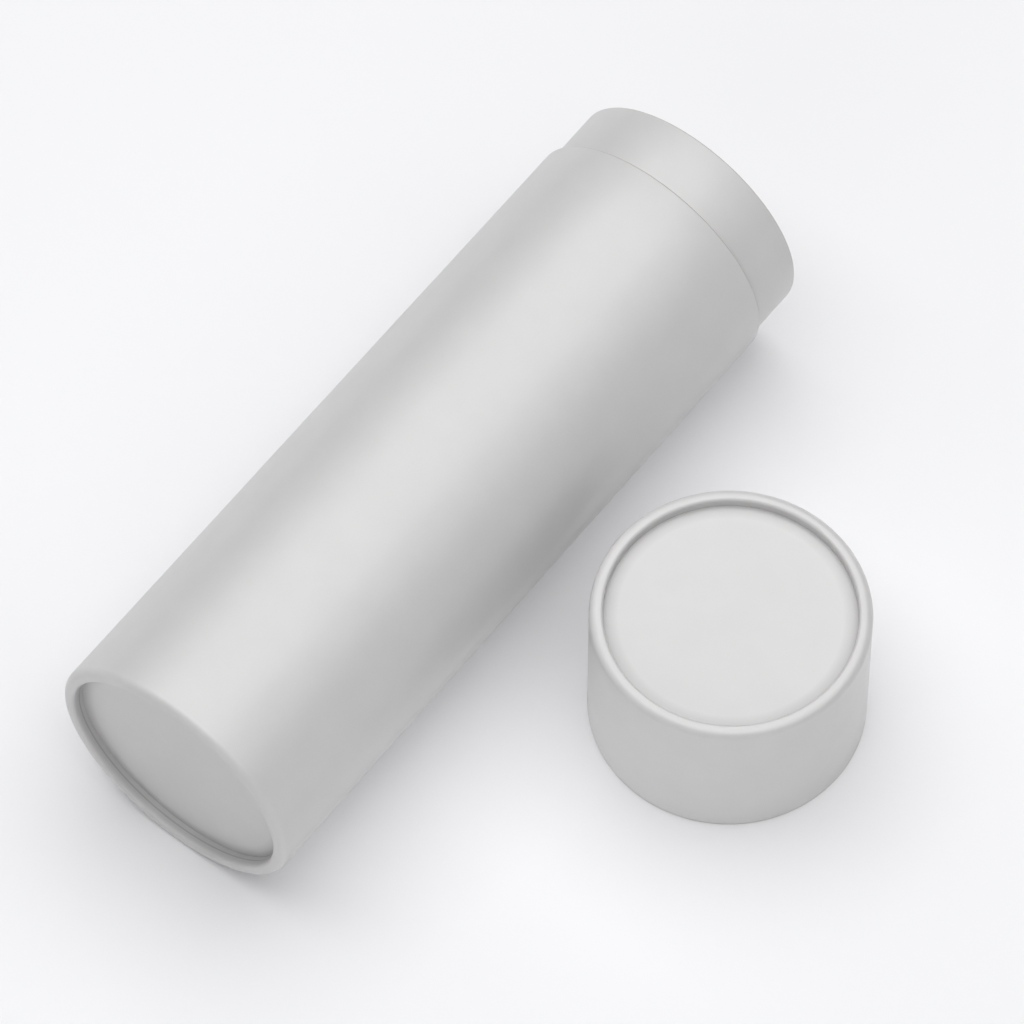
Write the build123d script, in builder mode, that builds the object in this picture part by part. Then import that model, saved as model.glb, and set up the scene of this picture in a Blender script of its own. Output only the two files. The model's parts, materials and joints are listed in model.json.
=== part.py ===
from build123d import *

import os

# Paperboard tube pack: a tube lying on its side with its lid taken off and standing
# beside it on its open rim. All sizes are in millimetres.
# The tube's axis runs along +X, towards its mouth, and both rest on z = 0.

# ---- driving dimensions ----
tube_diameter = 80.0  # outside of the body and of the lid
body_length = 219.0  # rolled base rim to shoulder
neck_length = 18.5  # inner tube showing past the shoulder
lid_height = 53.0  # open rim to rolled top rim
body_wall = 1.5  # wound board of the outer tube
neck_wall = 1.5  # wound board of the inner tube
disc_board = 1.4  # pressed board of both end discs
lid_clearance = 0.1  # radial play of the lid on the neck
base_recess = 4.2  # base rim down to the outer face of its disc
lid_recess = 3.2  # lid rim down to the outer face of its disc
rim_squeeze = 0.1  # how much thinner the wall is pressed where it is rolled
rim_outer_round = 2.4  # rounding of a rolled rim on its outer side
rim_inner_round = 1.0  # rounding of a rolled rim on its inner side
disc_bend = 0.5  # inside radius of the pressed corner of a disc
cut_round = 0.4  # worn corner of a cut board edge
tube_to_lid = 15.3  # free gap between the tube and the lid beside it
lid_station = 132.2  # along the tube, from the base rim to the lid's axis

# ---- sizes that follow ----
outer_radius = tube_diameter / 2
neck_radius = outer_radius - body_wall
lid_wall = body_wall - lid_clearance
bend_radius = disc_bend + disc_board  # outside of the pressed corner
tube_length = body_length + neck_length
axis_spacing = tube_diameter + tube_to_lid

# ---- frames: local x runs from the closed end to the open end, local y is radial ----
base_end = Vector(-tube_length / 2, axis_spacing / 2, outer_radius)
lid_top = Vector(base_end.X + lid_station, -axis_spacing / 2, lid_height)
tube_plane = Plane(origin=base_end, x_dir=(1, 0, 0), z_dir=(0, -1, 0))
lid_plane = Plane(origin=lid_top, x_dir=(0, 0, -1), z_dir=(0, -1, 0))
tube_axis = Axis(origin=base_end, direction=(1, 0, 0))
lid_axis = Axis(origin=lid_top, direction=(0, 0, -1))


def rolled_wall(length, wall, recess):
    """Section of a wound tube whose closed end is rolled inwards over a disc's flange."""
    bore = outer_radius - wall
    seat = bore + rim_squeeze  # radius at which the disc's flange is held
    hook = disc_board / 2  # inside radius of the roll
    roll = outer_radius - seat + hook  # rim top to the centre of the roll
    tail_back = seat - disc_board  # the tail lies against the flange
    tail_front = tail_back - (outer_radius - seat)
    disc_back = recess + disc_board
    with BuildSketch() as section:
        with BuildLine():
            Polyline(
                (length, outer_radius),
                (0, outer_radius),
                (0, tail_front),
                (recess, tail_front),
                (recess, tail_back),
                (roll, tail_back),
            )
            ThreePointArc((roll, tail_back), (roll - hook, seat - hook), (roll, seat))
            Polyline(
                (roll, seat),
                (disc_back - bend_radius / 2, seat),
                (disc_back, bore),
                (length, bore),
                (length, outer_radius),
            )
        make_face()
        fillet(vertices().sort_by_distance((0, outer_radius))[0], rim_outer_round)
        fillet(vertices().sort_by_distance((0, tail_front))[0], rim_inner_round)
        fillet(vertices().sort_by_distance((recess, tail_back))[0], disc_bend)
        fillet(vertices().sort_by_distance((length, outer_radius))[0], cut_round)
    return section.sketch


def dished_disc(wall, recess):
    """Section of a pressed disc: a flat plate with a flange that stands up into the roll."""
    seat = outer_radius - wall + rim_squeeze
    flange_edge = outer_radius - seat + disc_board / 2
    disc_back = recess + disc_board
    with BuildSketch() as section:
        with BuildLine():
            Polyline(
                (disc_back, 0),
                (disc_back, seat),
                (flange_edge, seat),
                (flange_edge, seat - disc_board),
                (recess, seat - disc_board),
                (recess, 0),
                close=True,
            )
        make_face()
        fillet(vertices().sort_by_distance((disc_back, seat))[0], bend_radius)
        fillet(vertices().sort_by_distance((recess, seat - disc_board))[0], disc_bend)
    return section.sketch


# ---- outer tube of the body, rolled in at the base ----
with BuildPart() as body_tube:
    with BuildSketch(tube_plane):
        add(rolled_wall(body_length, body_wall, base_recess))
    revolve(axis=tube_axis)

# ---- inner tube, glued inside the body, from the base disc to the mouth ----
inner_start = base_recess + disc_board
with BuildPart() as neck_tube:
    with BuildSketch(tube_plane):
        with Locations((inner_start, neck_radius - neck_wall)):
            Rectangle(tube_length - inner_start, neck_wall, align=(Align.MIN, Align.MIN))
        fillet(vertices().group_by(Axis.X)[-1], cut_round)
    revolve(axis=tube_axis)

# ---- disc that closes the base ----
with BuildPart() as base_disc:
    with BuildSketch(tube_plane):
        add(dished_disc(body_wall, base_recess))
    revolve(axis=tube_axis)

# ---- lid wall, rolled in at the top ----
with BuildPart() as lid_tube:
    with BuildSketch(lid_plane):
        add(rolled_wall(lid_height, lid_wall, lid_recess))
    revolve(axis=lid_axis)

# ---- disc that closes the lid ----
with BuildPart() as lid_disc:
    with BuildSketch(lid_plane):
        add(dished_disc(lid_wall, lid_recess))
    revolve(axis=lid_axis)

# ---- export ----
body_tube.part.label = "body_tube"
neck_tube.part.label = "neck_tube"
base_disc.part.label = "base_disc"
lid_tube.part.label = "lid_tube"
lid_disc.part.label = "lid_disc"

os.makedirs("parts", exist_ok=True)
for piece in (body_tube, neck_tube, base_disc, lid_tube, lid_disc):
    export_step(piece.part, f"parts/{piece.part.label}.step")
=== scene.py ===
import json
from math import cos, hypot, pi, radians, sin

import bpy
from mathutils import Euler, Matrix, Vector


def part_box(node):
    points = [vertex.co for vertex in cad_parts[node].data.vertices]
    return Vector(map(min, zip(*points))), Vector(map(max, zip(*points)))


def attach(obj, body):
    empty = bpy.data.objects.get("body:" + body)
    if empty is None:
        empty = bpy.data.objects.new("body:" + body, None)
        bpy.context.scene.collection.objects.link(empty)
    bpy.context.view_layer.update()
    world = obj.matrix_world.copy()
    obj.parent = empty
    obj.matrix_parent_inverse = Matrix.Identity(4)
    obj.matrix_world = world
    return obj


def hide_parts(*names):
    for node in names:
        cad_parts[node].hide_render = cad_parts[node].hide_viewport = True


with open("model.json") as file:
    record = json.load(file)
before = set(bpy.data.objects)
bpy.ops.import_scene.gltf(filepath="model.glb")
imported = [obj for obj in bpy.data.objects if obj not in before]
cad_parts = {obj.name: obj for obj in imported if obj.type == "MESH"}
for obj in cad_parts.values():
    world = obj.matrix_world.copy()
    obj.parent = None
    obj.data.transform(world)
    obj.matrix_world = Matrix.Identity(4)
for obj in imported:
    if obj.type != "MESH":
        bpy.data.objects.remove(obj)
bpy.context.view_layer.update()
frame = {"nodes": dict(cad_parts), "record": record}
print("frame loaded:", ", ".join(sorted(frame["nodes"])))


def mm(value):
    return value / 1000


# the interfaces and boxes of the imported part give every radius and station
mounts = {m["name"]: m for m in frame["record"]["mounts"]}
radiusOf = {name: mm(m["dims"].get("r_mm", 0)) for name, m in mounts.items()}
tubeLow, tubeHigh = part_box("body_tube")
lidLow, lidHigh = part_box("lid_tube")
packRadius = round((tubeHigh.z - tubeLow.z) / 2, 4)
tubeEnd = Vector((tubeLow.x, mounts["tube_bore"]["pos_m"][1], mounts["tube_bore"]["pos_m"][2]))
lidTop = Vector((mounts["lid_socket"]["pos_m"][0], mounts["lid_socket"]["pos_m"][1], lidHigh.z))
onItsSide = Euler((0, -pi / 2, 0))  # the closed end, up on the bench, turns to face -X
upright = Euler((0, 0, 0))


ringPoints = 288  # round each piece


# turning: a ring is pulled along a section, closed end up, on the Z axis

def startRing(name, radius, height):
    bpy.ops.object.select_all(action="DESELECT")
    bpy.ops.mesh.primitive_circle_add(
        vertices=ringPoints, radius=radius, fill_type="NOTHING", location=(0, 0, height)
    )
    piece = bpy.context.object
    bpy.ops.object.transform_apply(location=True, rotation=True, scale=True)
    piece.name = name
    piece.data.name = name
    bpy.ops.object.mode_set(mode="EDIT")
    bpy.ops.mesh.select_mode(type="EDGE")
    bpy.ops.mesh.select_all(action="SELECT")
    return piece


def pullRing(outline):
    # each ring is pulled out of the last one, then opened or closed to its radius
    height, radius = outline[0]
    for nextHeight, nextRadius in outline[1:]:
        bpy.ops.mesh.extrude_edges_move(
            TRANSFORM_OT_translate={"value": (0, 0, nextHeight - height)}
        )
        grow = nextRadius / radius
        bpy.ops.transform.resize(value=(grow, grow, 1), center_override=(0, 0, nextHeight))
        height, radius = nextHeight, nextRadius


def closeRing():
    bpy.ops.mesh.select_all(action="SELECT")
    bpy.ops.mesh.remove_doubles(threshold=mm(0.001))


def arc(height, radius, size, start, end, steps):
    # points on a small arc of the section, angles in degrees from straight outwards
    turns = [radians(start + (end - start) * i / steps) for i in range(steps + 1)]
    return [(height + size * sin(t), radius + size * cos(t)) for t in turns]


def selectRing(piece, height, radius, reach=mm(0.05)):
    bpy.ops.mesh.select_all(action="DESELECT")
    bpy.ops.object.mode_set(mode="OBJECT")
    onRing = [
        abs(p.co.z - height) < reach and abs(hypot(p.co.x, p.co.y) - radius) < reach
        for p in piece.data.vertices
    ]
    for edge in piece.data.edges:
        a, b = edge.vertices
        edge.select = onRing[a] and onRing[b]
    bpy.ops.object.mode_set(mode="EDIT")


def roundEdge(piece, height, radius, size, steps=4):
    selectRing(piece, height, radius)
    bpy.ops.mesh.bevel(offset=size, offset_type="OFFSET", segments=steps, affect="EDGES")


def layPiece(piece, place, turn, finishes, pick, crease=35):
    # normals turned out, each face given its finish, and the piece laid where the frame holds it
    closeRing()
    bpy.ops.mesh.normals_make_consistent(inside=False)
    bpy.ops.mesh.select_all(action="DESELECT")
    bpy.ops.object.mode_set(mode="OBJECT")
    bpy.ops.object.shade_smooth_by_angle(angle=radians(crease))
    piece.data.materials.clear()
    for finish in finishes:
        piece.data.materials.append(finish)
    for face in piece.data.polygons:
        face.material_index = pick(face.center.z, hypot(face.center.x, face.center.y), face.normal.z)
    piece.rotation_euler = turn
    piece.location = place
    bpy.ops.object.transform_apply(location=True, rotation=True, scale=True)


def standFor(piece, node, body):
    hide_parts(node)
    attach(piece, body)
    print(piece.name, "has", len(piece.data.polygons), "faces")


rolledRim = {
    "squeeze": mm(0.1),  # the board is pressed thinner where it is rolled
    "outerRound": mm(2.4),
    "innerRound": mm(1.0),
    "roundSteps": 14,
    "hookSteps": 10,
    "cutRound": mm(0.6),
    "wallRings": 12,
}
pressedDisc = {
    "board": mm(1.4),
    "bend": mm(0.5),
    "bendSteps": 8,
    # painted shade on a disc's sheet, where the rolled rim shades it, starts at this radius
    "rimShadeStart": mm(31.7),
}


def rolledWall(name, radius, length, wall, recess):
    # a wound tube whose top edge is rolled inwards and down, round the flange of a disc
    boreRadius = radius - wall
    seat = boreRadius + rolledRim["squeeze"]
    hook = pressedDisc["board"] / 2
    roll = radius - seat + hook
    tailBack = seat - pressedDisc["board"]
    tailFront = tailBack - (radius - seat)
    discBack = recess + pressedDisc["board"]
    bend = pressedDisc["bend"]
    outer, inner = rolledRim["outerRound"], rolledRim["innerRound"]
    steps, rings = rolledRim["roundSteps"], rolledRim["wallRings"]
    outline = [(-length + (length - outer) * i / rings, radius) for i in range(rings)]
    outline += arc(-outer, radius - outer, outer, 0, 90, steps)
    outline += arc(-inner, tailFront + inner, inner, 90, 180, steps)
    outline += [(-recess, tailFront)]
    outline += arc(-recess + bend, tailBack - bend, bend, -90, 0, pressedDisc["bendSteps"])
    outline += arc(-roll, seat - hook, hook, 180, 0, rolledRim["hookSteps"])
    outline += [(-discBack + (bend + pressedDisc["board"]) / 2, seat), (-discBack, boreRadius)]
    outline += [(-length, boreRadius), (-length, radius)]
    piece = startRing(name, radius, -length)
    pullRing(outline)
    closeRing()
    roundEdge(piece, -length, radius, rolledRim["cutRound"])
    return piece


def dishedDisc(name, radius, wall, recess):
    # a flat plate, dished, with a flange that stands up into the roll
    seat = radius - wall + rolledRim["squeeze"]
    board, bend, steps = pressedDisc["board"], pressedDisc["bend"], pressedDisc["bendSteps"]
    flangeEdge = radius - seat + board / 2
    inner = seat - board
    outline = arc(-recess + bend, inner - bend, bend, -90, 0, steps)
    outline += [(-flangeEdge, inner), (-flangeEdge, seat)]
    outline += arc(-recess + bend, inner - bend, bend + board, 0, -90, steps)
    piece = startRing(name, inner - bend, -recess)
    pullRing(outline)
    bpy.ops.mesh.edge_face_add()  # the plate's inner face
    selectRing(piece, -recess, inner - bend)
    bpy.ops.mesh.edge_face_add()  # and its outer one
    return piece


def woundSleeve(name, start, end, radius, wall):
    # a plain wound tube, cut square at both ends
    rings = rolledRim["wallRings"]
    stations = [-start - (end - start) * i / rings for i in range(rings + 1)]
    outline = [(s, radius) for s in stations] + [(s, radius - wall) for s in reversed(stations)]
    outline += [(-start, radius)]
    piece = startRing(name, radius, -start)
    pullRing(outline)
    closeRing()
    for edgeRadius in (radius, radius - wall):
        roundEdge(piece, -end, edgeRadius, rolledRim["cutRound"])
    return piece


# finishes: each is drawn in the piece's own place, closed end up, with Z along its axis

def fromHex(code):
    # sRGB hex to the linear values that the shaders work in
    parts = [int(code[i:i + 2], 16) / 255 for i in (1, 3, 5)]
    return tuple(p / 12.92 if p <= 0.04045 else ((p + 0.055) / 1.055) ** 2.4 for p in parts) + (1,)


def newMaterial(name):
    material = bpy.data.materials.new(name)
    material.use_nodes = True
    return material, material.node_tree, material.node_tree.nodes["Principled BSDF"]


def addNode(tree, kind, settings=None, values=None, links=None):
    # a link comes from a socket, or from the first output of a node
    node = tree.nodes.new(kind)
    for key, value in (settings or {}).items():
        setattr(node, key, value)
    for key, value in (values or {}).items():
        node.inputs[key].default_value = value
    for key, source in (links or {}).items():
        if isinstance(source, bpy.types.Node):
            source = source.outputs[0]
        tree.links.new(source, node.inputs[key])
    return node


def benchPlace(tree, piece):
    # undoes the laying of the piece, so that a pattern follows the turned wall
    spot = addNode(tree, "ShaderNodeTexCoord").outputs["Object"]
    bench = addNode(tree, "ShaderNodeMapping", {"vector_type": "TEXTURE"},
                    {"Location": piece["place"], "Rotation": piece["turn"]}, {"Vector": spot})
    parts = addNode(tree, "ShaderNodeSeparateXYZ", links={"Vector": bench}).outputs
    across = addNode(tree, "ShaderNodeCombineXYZ", links={"X": parts["X"], "Y": parts["Y"]})
    reach = addNode(tree, "ShaderNodeVectorMath", {"operation": "LENGTH"}, links={0: across})
    angle = addNode(tree, "ShaderNodeMath", {"operation": "ARCTAN2"}, links={0: parts["Y"], 1: parts["X"]})
    return bench, reach.outputs["Value"], angle, parts["Z"]


def pulpPattern(tree, vector, look):
    # clouds of pulp, then finer fibres, and how far each takes the sheet to its deep colour
    patterns, shades = [], []
    for part in ("cloud", "fibre"):
        noise = addNode(tree, "ShaderNodeTexNoise", links={"Vector": vector}, values={
            "Scale": 1 / look[part], "Detail": pulp[part + "Detail"],
        })
        shades.append(addNode(tree, "ShaderNodeMapRange", links={"Value": noise}, values={
            "From Min": pulp["noiseLow"], "From Max": pulp["noiseHigh"], "To Max": look[part + "Shade"],
        }))
        patterns.append(noise)
    return patterns, shades


def lineAt(tree, value, centre, halfWidth):
    # 1 on a fine line where the value passes the centre, fading to 0 at its sides
    past = addNode(tree, "ShaderNodeMath", {"operation": "SUBTRACT"}, {1: centre}, {0: value})
    away = addNode(tree, "ShaderNodeMath", {"operation": "ABSOLUTE"}, links={0: past})
    return addNode(tree, "ShaderNodeMapRange", links={"Value": away}, values={
        "From Max": halfWidth, "To Min": 1, "To Max": 0,
    })


def keepWhere(tree, pattern, value, test, limit):
    # the pattern stays only where the value passes the test against the limit
    passed = addNode(tree, "ShaderNodeMath", {"operation": test}, {1: limit}, {0: value})
    return addNode(tree, "ShaderNodeMath", {"operation": "MULTIPLY"}, links={0: pattern, 1: passed})


def dressSheet(tree, shader, look, shades, steps):
    # the shades add up to how far the base colour runs from the pale one to the deep one;
    # a step is a height from 0 to 1 with its real size, and a size of less than 0 goes inwards
    amount = shades[0]
    for shade in shades[1:]:
        amount = addNode(tree, "ShaderNodeMath", {"operation": "ADD"}, links={0: amount, 1: shade})
    ramp = addNode(tree, "ShaderNodeValToRGB", links={"Fac": amount})
    ramp.color_ramp.elements[0].color = fromHex(look["pale"])
    ramp.color_ramp.elements[1].color = fromHex(look["deep"])
    tree.links.new(ramp.outputs["Color"], shader.inputs["Base Color"])
    relief = {}
    for height, size in steps:
        bump = addNode(tree, "ShaderNodeBump", {"invert": size < 0},
                       {"Strength": 1.0, "Distance": abs(size)}, {"Height": height, **relief})
        relief = {"Normal": bump}
    tree.links.new(bump.outputs["Normal"], shader.inputs["Normal"])


def satinPaper(name, piece, look):
    # satin coated paper wrapped on wound board: an even pale sheet with a soft broad sheen,
    # hardly clouded by the fibres, lapped in one straight seam
    material, tree, shader = newMaterial(name)
    vector, reach, angle, height = benchPlace(tree, piece)
    (cloud, fibre), shades = pulpPattern(tree, vector, look)
    steps = [(cloud, look["cloudHeight"]), (fibre, look["fibreHeight"])]
    if "seamAngle" in piece:
        # the lap runs down the wall from under the rim
        lap = lineAt(tree, angle, piece["seamAngle"], look["lapWidth"] / packRadius)
        lap = keepWhere(tree, lap, reach, "GREATER_THAN", coveredFrom)
        lap = keepWhere(tree, lap, height, "LESS_THAN", -rolledRim["outerRound"])
        shades.append(lap)
        steps.append((lap, -look["lapHeight"]))
    if "tuckLine" in piece:
        # edge of the paper where it is tucked down inside the rolled rim, and painted shade on the rim's
        # tail, darker deeper in the recess
        tuck = lineAt(tree, height, -piece["tuckLine"], look["lapWidth"])
        tuck = keepWhere(tree, tuck, reach, "LESS_THAN", tailWithin)
        # painted shade: the recess wall darkens with depth below the rim
        tail = addNode(tree, "ShaderNodeMapRange", links={"Value": height}, values={
            "From Min": -piece["tailShadeFrom"], "From Max": -piece["tailShadeFull"], "To Max": look["paintedRecessShade"],
        })
        shades += [keepWhere(tree, tail, reach, "LESS_THAN", tailWithin), tuck]
        steps.append((tuck, -look["lapHeight"]))
    if "paintedRimShadeFrom" in piece:
        # painted shade: the sheet of a disc darkens towards the bend that the press gave it, where the rolled
        # rim above shades it
        shades.append(addNode(tree, "ShaderNodeMapRange", links={"Value": reach}, values={
            "From Min": piece["paintedRimShadeFrom"], "From Max": pressedTo, "To Max": look["paintedRimShade"],
        }))
    dressSheet(tree, shader, look, shades, steps)
    sheen = addNode(tree, "ShaderNodeMapRange", links={"Value": fibre}, values={
        "From Min": pulp["noiseLow"], "From Max": pulp["noiseHigh"],
        "To Min": look["roughness"] - look["sheenSpread"], "To Max": look["roughness"] + look["sheenSpread"],
    })
    tree.links.new(sheen.outputs["Result"], shader.inputs["Roughness"])
    shader.inputs["IOR"].default_value = look["ior"]
    return material


def rawBoard(name, piece, look):
    # cut edge of wound grey board: dull, a little darker and warmer, in fine rings of ply
    material, tree, shader = newMaterial(name)
    vector, reach = benchPlace(tree, piece)[:2]
    fibre = addNode(tree, "ShaderNodeTexNoise", links={"Vector": vector}, values={
        "Scale": 1 / look["fibre"], "Detail": pulp["fibreDetail"],
    })
    swayed = addNode(tree, "ShaderNodeMath", {"operation": "MULTIPLY_ADD"},
                     {1: look["ply"] * look["plySway"]}, {0: fibre, 2: reach})
    ring = addNode(tree, "ShaderNodeMath", {"operation": "MULTIPLY"}, {1: 2 * pi / look["ply"]}, {0: swayed})
    wave = addNode(tree, "ShaderNodeMath", {"operation": "SINE"}, links={0: ring})
    ply = addNode(tree, "ShaderNodeMapRange", values={"From Min": -1}, links={"Value": wave})
    shades = [
        addNode(tree, "ShaderNodeMath", {"operation": "MULTIPLY"}, {1: look["plyShade"]}, {0: ply}),
        addNode(tree, "ShaderNodeMath", {"operation": "MULTIPLY"}, {1: look["fibreShade"]}, {0: fibre}),
    ]
    dressSheet(tree, shader, look, shades, [(ply, look["plyHeight"]), (fibre, look["fibreHeight"])])
    shader.inputs["Roughness"].default_value = look["roughness"]
    return material


def linerPaper(name, piece, look):
    # uncoated lining paper, matt and faintly flecked, its strips meeting in one long spiral
    material, tree, shader = newMaterial(name)
    vector, reach, angle, height = benchPlace(tree, piece)
    (cloud, fibre), shades = pulpPattern(tree, vector, look)
    along = addNode(tree, "ShaderNodeMath", {"operation": "DIVIDE"}, {1: look["pitch"]}, {0: height})
    around = addNode(tree, "ShaderNodeMath", {"operation": "DIVIDE"}, {1: 2 * pi}, {0: angle})
    turns = addNode(tree, "ShaderNodeMath", {"operation": "ADD"}, links={0: along, 1: around})
    strip = addNode(tree, "ShaderNodeMath", {"operation": "FRACT"}, links={0: turns})
    joint = lineAt(tree, strip, look["jointTurn"], look["jointWidth"] / look["pitch"])
    joint = keepWhere(tree, joint, reach, "GREATER_THAN", linedFrom)
    steps = [(fibre, look["fibreHeight"]), (joint, -look["jointHeight"])]
    dressSheet(tree, shader, look, shades + [joint], steps)
    shader.inputs["Roughness"].default_value = look["roughness"]
    return material


# radii that part one finish from the next
coveredFrom = packRadius - mm(1.6)  # the covered walls and the neck lie outside this
linedFrom = packRadius - mm(3.4)  # the lined bores lie outside this
tailWithin = packRadius - mm(3.6)  # the tail of a rolled rim faces the axis inside this
# a disc's painted rim shade is fullest at this radius
pressedTo = packRadius - mm(4.2)  # the sheet of a disc has reached its bend here

pulp = {
    "cloudDetail": 2.0,
    "fibreDetail": 3.0,
    "noiseLow": 0.3,  # noise hardly leaves this range
    "noiseHigh": 0.7,
}
paperLook = {
    "pale": "#D2D1D1",
    "deep": "#A9A8A8",  # reached only along a lap
    # painted shade on the recess wall under a rolled rim
    "paintedRecessShade": 0.35,
    # how dark the painted shade gets at a disc's bend under the rolled rim
    "paintedRimShade": 0.65,
    "roughness": 0.30,
    "sheenSpread": 0.02,
    "ior": 1.58,
    "cloud": mm(11),
    "cloudShade": 0.06,
    "cloudHeight": mm(0.01),
    "fibre": mm(0.45),
    "fibreShade": 0.04,
    "fibreHeight": mm(0.0012),
    "lapWidth": mm(0.3),
    "lapHeight": mm(0.05),
}
boardLook = {
    "pale": "#BDB8B1",
    "deep": "#A39D95",
    "roughness": 0.85,
    "ply": mm(0.36),
    "plySway": 0.5,  # share of a ply by which the fibres push the rings aside
    "plyShade": 0.55,
    "plyHeight": mm(0.02),
    "fibre": mm(0.5),
    "fibreShade": 0.45,
    "fibreHeight": mm(0.03),
}
linerLook = {
    "pale": "#CDCBC8",
    "deep": "#B4B1AD",
    "roughness": 0.75,
    "cloud": mm(14),
    "cloudShade": 0.2,
    "fibre": mm(0.7),
    "fibreShade": 0.25,
    "fibreHeight": mm(0.008),
    "pitch": mm(111),  # a 100 mm strip wound on this bore
    "jointTurn": 0.5,  # how far round each turn the joint lies
    "jointWidth": mm(0.4),
    "jointHeight": mm(0.06),
}


# where one finish ends on a piece; facing is how far a face looks along the axis, from -1 to 1
finishEdge = {
    "endFacing": 0.4,
    "innerFacing": 0.2,
    "liningDepth": mm(4.3),  # below the rolled rim
    "wallLining": radiusOf["lid_socket"] + mm(0.15),
    "sleeveLining": radiusOf["neck"] - mm(0.6),
}


def wallFinish(height, reach, facing):
    # 0 paper outside and over the rim, 1 the cut end, 2 the lining of the bore
    if facing < -finishEdge["endFacing"] and reach > radiusOf["tube_bore"]:
        return 1
    inBore = reach < finishEdge["wallLining"] and height < -finishEdge["liningDepth"]
    return 2 if inBore and facing < finishEdge["endFacing"] else 0


def sleeveFinish(height, reach, facing):
    # the same three finishes, on a sleeve that is cut at both ends
    if abs(facing) > finishEdge["endFacing"]:
        return 1
    return 2 if reach < finishEdge["sleeveLining"] else 0


def discFinish(height, reach, facing):
    # 0 the outer side, 1 the inner one
    return 1 if facing < -finishEdge["innerFacing"] else 0


bodyTube = {
    "place": tubeEnd,
    "turn": onItsSide,
    "length": tubeHigh.x - tubeLow.x,
    "wall": packRadius - radiusOf["neck"],
    "recess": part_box("base_disc")[1].x - tubeEnd.x - pressedDisc["board"],
    "seamAngle": radians(155),
    "tuckLine": mm(2.7),
    # depths below the rim over which the painted recess shade deepens
    "tailShadeFrom": mm(0.8),
    "tailShadeFull": mm(1.8),
}
bodyPaper = satinPaper("satinPaperOfTube", bodyTube, paperLook)
bodyBoard = rawBoard("greyBoardOfTube", bodyTube, boardLook)
bodyLiner = linerPaper("liningPaperOfTube", bodyTube, linerLook)
outerTube = rolledWall("bodyTube", packRadius, bodyTube["length"], bodyTube["wall"], bodyTube["recess"])
layPiece(outerTube, bodyTube["place"], bodyTube["turn"], (bodyPaper, bodyBoard, bodyLiner), wallFinish)
standFor(outerTube, "body_tube", "tube")

baseDisc = {"place": tubeEnd, "turn": onItsSide, "paintedRimShadeFrom": pressedDisc["rimShadeStart"]}
baseDiscPaper = satinPaper("satinPaperOfBase", baseDisc, paperLook)
basePlate = dishedDisc("baseDisc", packRadius, bodyTube["wall"], bodyTube["recess"])
layPiece(basePlate, baseDisc["place"], baseDisc["turn"], (baseDiscPaper, bodyLiner), discFinish)
standFor(basePlate, "base_disc", "tube")

neckTube = {
    "place": tubeEnd,
    "turn": onItsSide,
    "start": bodyTube["recess"] + pressedDisc["board"],
    "end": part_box("neck_tube")[1].x - tubeEnd.x,
    "wall": radiusOf["neck"] - radiusOf["tube_bore"],
}
innerTube = woundSleeve("neckTube", neckTube["start"], neckTube["end"], radiusOf["neck"], neckTube["wall"])
layPiece(innerTube, neckTube["place"], neckTube["turn"], (bodyPaper, bodyBoard, bodyLiner), sleeveFinish)
standFor(innerTube, "neck_tube", "tube")

lidTube = {
    "place": lidTop,
    "turn": upright,
    "length": lidHigh.z - lidLow.z,
    "wall": packRadius - radiusOf["lid_socket"],
    "recess": lidTop.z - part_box("lid_disc")[0].z - pressedDisc["board"],
    "seamAngle": radians(60),
}
lidPaper = satinPaper("satinPaperOfLid", lidTube, paperLook)
lidBoard = rawBoard("greyBoardOfLid", lidTube, boardLook)
lidLiner = linerPaper("liningPaperOfLid", lidTube, linerLook)
lidWall = rolledWall("lidTube", packRadius, lidTube["length"], lidTube["wall"], lidTube["recess"])
layPiece(lidWall, lidTube["place"], lidTube["turn"], (lidPaper, lidBoard, lidLiner), wallFinish)
standFor(lidWall, "lid_tube", "lid")

lidDisc = {"place": lidTop, "turn": upright, "paintedRimShadeFrom": pressedDisc["rimShadeStart"]}
lidDiscPaper = satinPaper("satinPaperOfLidTop", lidDisc, paperLook)
lidPlate = dishedDisc("lidDisc", packRadius, lidTube["wall"], lidTube["recess"])
layPiece(lidPlate, lidDisc["place"], lidDisc["turn"], (lidDiscPaper, lidLiner), discFinish)
standFor(lidPlate, "lid_disc", "lid")


# the set
studio = {
    "floor": "#F3F3F5",
    "backdrop": "#F6F6F8",
    "floorRadius": 40,
    "floorRoughness": 0.9,
    "floorGlow": 0.15,  # share of the backdrop's own colour in the floor beside the pieces
    "fadeFrom": 0.5,
    "fadeTo": 1.6,
    "lamps": (
        # name, place, aim, size, power, and whether satin paper shows its glare
        ("topSoftbox", (0.375, 0, 2.5), (0.375, 0, 0), (3.25, 7.0), 77, True),
        ("middleSoftbox", (0.375, 0.325, 2.49), (0.375, 0.325, 0), (3.25, 3.15), 44, True),
        ("lowPanel", (-2.9, -0.78, 0.9), (0, 0, 0.1), (3.2, 1.2), 22.5, False),
        # as from a lit patch of the table, beside the foot of the walls
        ("tableGlow", (-0.05, -0.125, 0.0006), (-0.05, -0.125, 1), (0.4, 0.25), 0.033, True),
    ),
}


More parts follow.
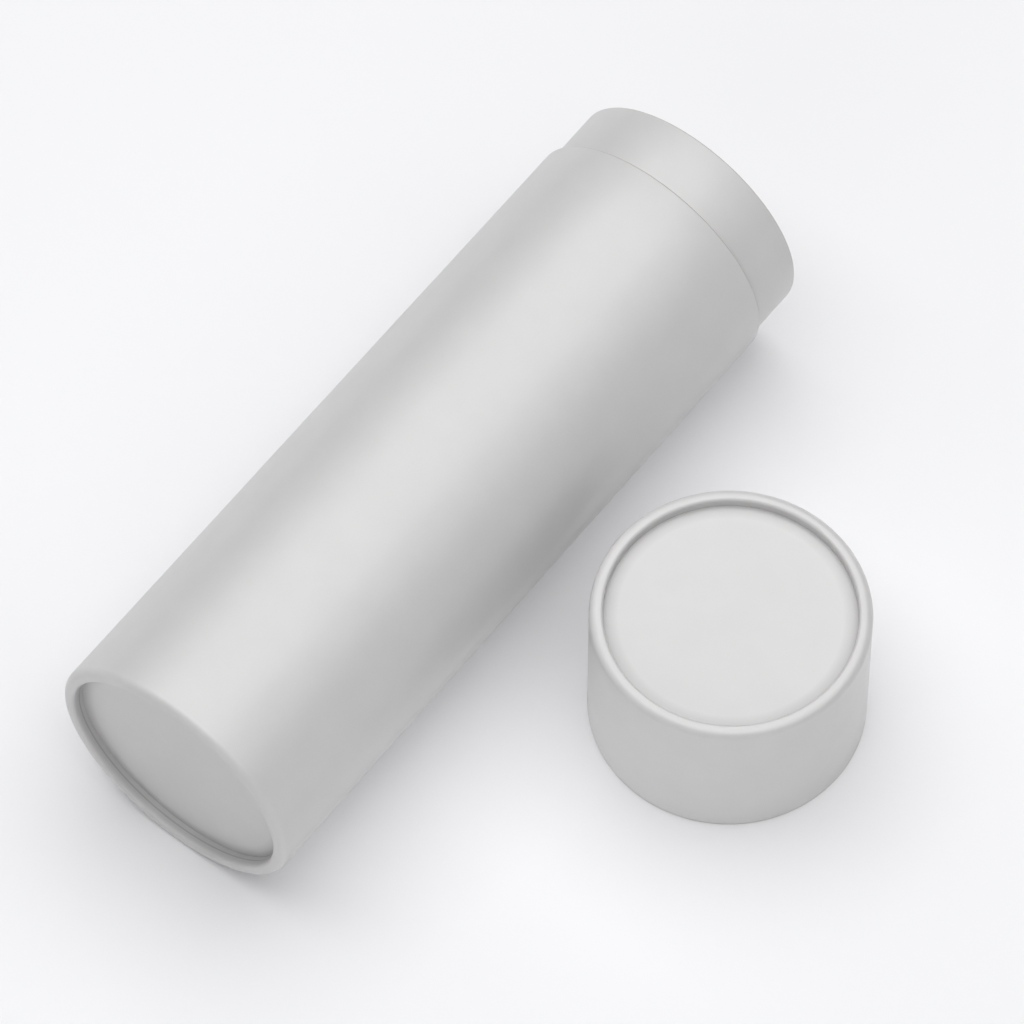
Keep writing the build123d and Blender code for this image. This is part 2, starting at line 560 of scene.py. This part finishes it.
def addFloor():
    # a plain matt floor that runs out into the backdrop's colour far from the pieces
    bpy.ops.mesh.primitive_circle_add(
        vertices=96, radius=studio["floorRadius"], fill_type="NGON", location=(0, 0, 0)
    )
    floor = bpy.context.object
    floor.name = "studioFloor"
    material, tree, shader = newMaterial("paleStudioFloor")
    shader.inputs["Base Color"].default_value = fromHex(studio["floor"])
    shader.inputs["Roughness"].default_value = studio["floorRoughness"]
    shader.inputs["Specular IOR Level"].default_value = 0.0
    spot = addNode(tree, "ShaderNodeTexCoord").outputs["Object"]
    away = addNode(tree, "ShaderNodeVectorMath", {"operation": "LENGTH"}, links={0: spot})
    fade = addNode(tree, "ShaderNodeMapRange", links={"Value": away.outputs["Value"]}, values={
        "From Min": studio["fadeFrom"], "From Max": studio["fadeTo"], "To Min": studio["floorGlow"],
    })
    seen = addNode(tree, "ShaderNodeLightPath").outputs["Is Camera Ray"]
    share = addNode(tree, "ShaderNodeMath", {"operation": "MULTIPLY"}, links={0: seen, 1: fade})
    glow = addNode(tree, "ShaderNodeEmission", values={"Color": fromHex(studio["backdrop"]), "Strength": 1.0})
    blend = addNode(tree, "ShaderNodeMixShader", links={0: share, 1: shader, 2: glow})
    tree.links.new(blend.outputs["Shader"], tree.nodes["Material Output"].inputs["Surface"])
    floor.data.materials.append(material)


def addLamp(name, place, aim, size, power, glare):
    light = bpy.data.lights.new(name, "AREA")
    light.shape = "RECTANGLE"
    light.size, light.size_y = size
    light.energy = power
    lamp = bpy.data.objects.new(name, light)
    bpy.context.scene.collection.objects.link(lamp)
    lamp.location = place
    lamp.rotation_euler = (Vector(aim) - Vector(place)).to_track_quat("-Z", "Y").to_euler()
    lamp.visible_camera = False
    lamp.visible_glossy = glare


addFloor()
for lampLook in studio["lamps"]:
    addLamp(*lampLook)

# the backdrop shows to the camera only, so it puts no light on the pieces
world = bpy.data.worlds.new("studioBackdrop")
bpy.context.scene.world = world
world.use_nodes = True
sky = world.node_tree.nodes["Background"]
sky.inputs["Color"].default_value = fromHex(studio["backdrop"])
skyRays = addNode(world.node_tree, "ShaderNodeLightPath")
world.node_tree.links.new(skyRays.outputs["Is Camera Ray"], sky.inputs["Strength"])
print("studio lit by", len(studio["lamps"]), "lamps")

cameraView = {
    "azimuth": -51.95,
    "elevation": 60.41,
    "distance": 2.434,
    "target": Vector((0.02445, 0.0391, 0)),
    "lens": 295.2,
    "sensor": 36,
}
azimuth, elevation = radians(cameraView["azimuth"]), radians(cameraView["elevation"])
back = Vector((sin(azimuth) * cos(elevation), -cos(azimuth) * cos(elevation), sin(elevation)))
camera = bpy.data.objects.new("camera", bpy.data.cameras.new("camera"))
camera.data.lens = cameraView["lens"]
camera.data.sensor_width = cameraView["sensor"]
camera.location = cameraView["target"] + back * cameraView["distance"]
camera.rotation_euler = (-back).to_track_quat("-Z", "Y").to_euler()
bpy.context.scene.collection.objects.link(camera)
bpy.context.scene.camera = camera
bpy.context.scene.view_settings.view_transform = "Standard"

print("scene ready")
